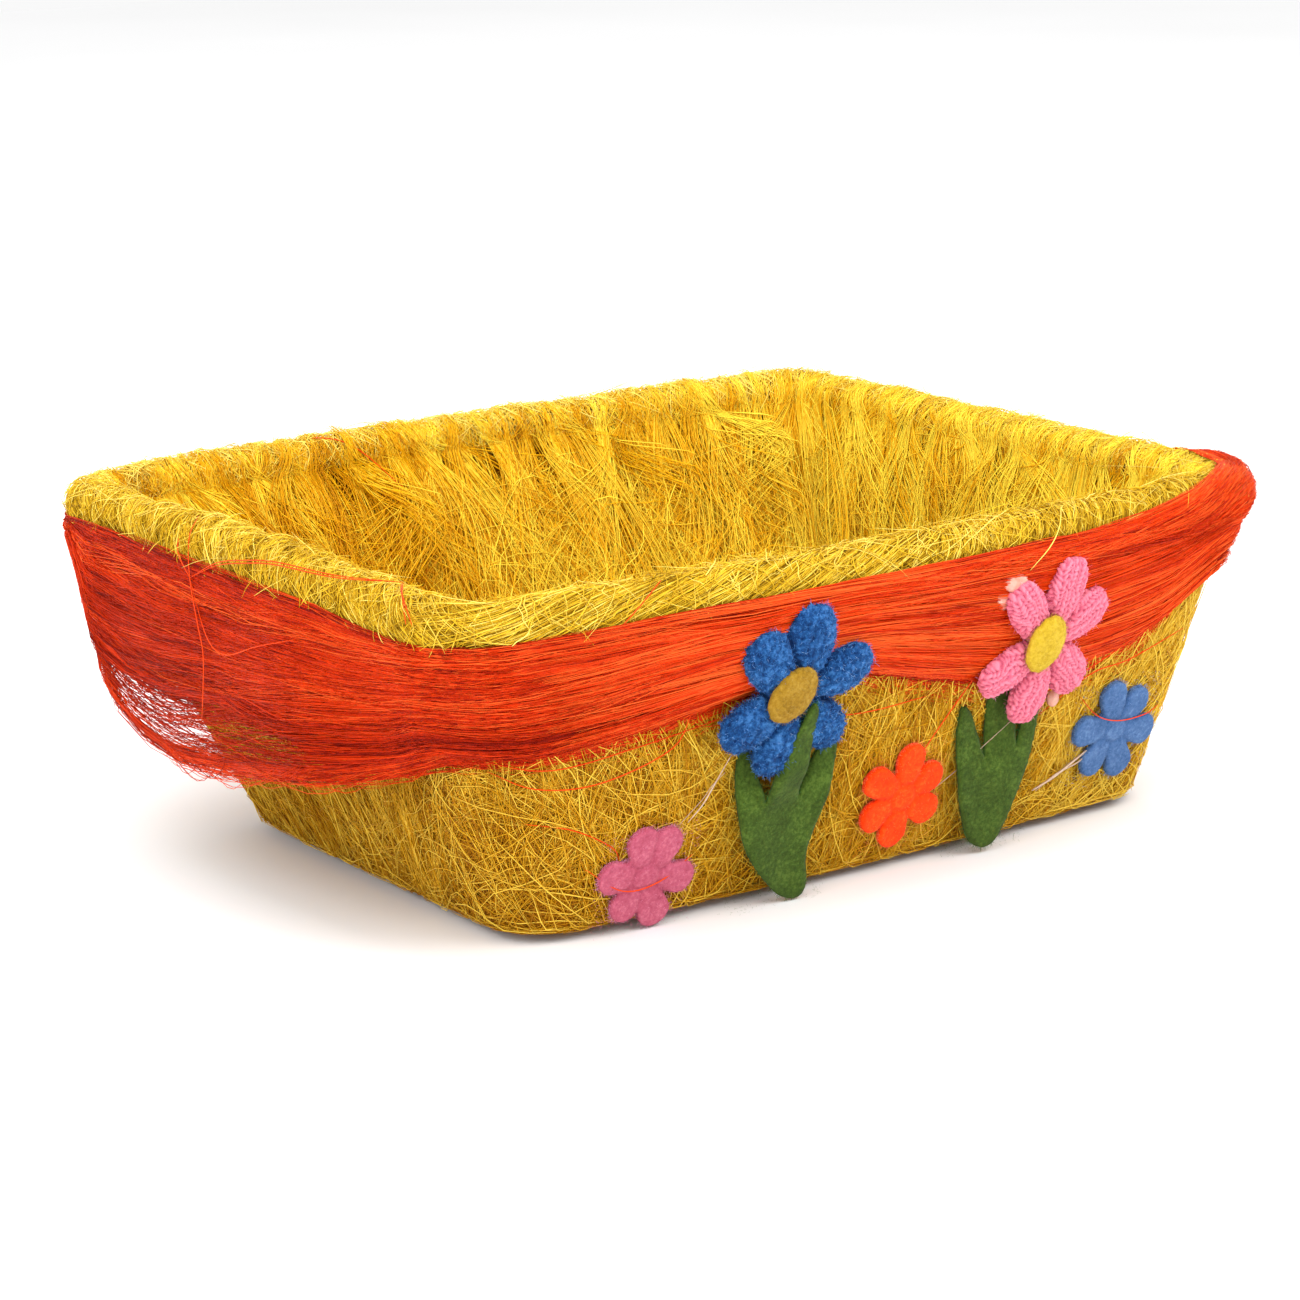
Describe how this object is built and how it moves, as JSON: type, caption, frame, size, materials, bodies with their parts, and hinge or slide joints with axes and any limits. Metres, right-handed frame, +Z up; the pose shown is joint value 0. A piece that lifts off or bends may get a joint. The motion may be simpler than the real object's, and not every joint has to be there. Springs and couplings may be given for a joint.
{
  "type": "easter basket",
  "caption": "Rectangular flared tray basket of sisal over a wire frame, with a wound rim, a combed sash below it and felt flowers on the front.",
  "frame": {"origin": "on the flat resting face under the floor, straight below the middle of the rim outline", "axes": "+Z up out of the open top, +X along the long side towards the corner where the sash turns over the rim, and the flowers face -Y"},
  "size_m": [0.2967, 0.2367, 0.1082],
  "materials": {
    "wire": "dull galvanised wire",
    "sisal_outer": "matted ochre sisal fibre, dry and slightly glossy strands",
    "sisal_lining": "golden yellow sisal fibre, tangled",
    "sisal_rim": "lime yellow sisal roving, wound tightly",
    "sash": "combed orange-red sisal, silky strands",
    "blue_wool": "fuzzy felted wool",
    "ochre_felt": "fuzzy felted wool",
    "green_felt": "flat pressed felt",
    "pink_knit": "looped terry knit",
    "yellow_felt": "fuzzy felted wool",
    "pink_felt": "flat pressed felt",
    "orange_felt": "flat pressed felt",
    "blue_felt": "flat pressed felt",
    "glue": "clear hot-melt glue, slightly milky"
  },
  "bodies": {
    "root": {"rim_wire": "wire", "base_wire": "wire", "cross_rib_left": "wire", "cross_rib_middle": "wire", "cross_rib_right": "wire", "length_rib": "wire", "outer_mat_front": "sisal_outer", "outer_mat_right": "sisal_outer", "outer_mat_back": "sisal_outer", "outer_mat_left": "sisal_outer", "outer_mat_base": "sisal_outer", "lining_front": "sisal_lining", "lining_right": "sisal_lining", "lining_back": "sisal_lining", "lining_left": "sisal_lining", "lining_floor": "sisal_lining", "rim_winding_front": "sisal_rim", "rim_winding_right": "sisal_rim", "rim_winding_back": "sisal_rim", "rim_winding_left": "sisal_rim", "sash_front": "sash", "sash_right": "sash", "sash_back": "sash", "sash_left_swag": "sash", "sash_corner_wrap": "sash", "blue_flower": "blue_wool", "blue_flower_centre": "ochre_felt", "blue_flower_leaf": "green_felt", "pink_flower": "pink_knit", "pink_flower_centre": "yellow_felt", "pink_flower_leaf": "green_felt", "small_pink_flower": "pink_felt", "small_orange_flower": "orange_felt", "small_blue_flower": "blue_felt", "glue_dots": "glue"}
  },
  "joints": []
}
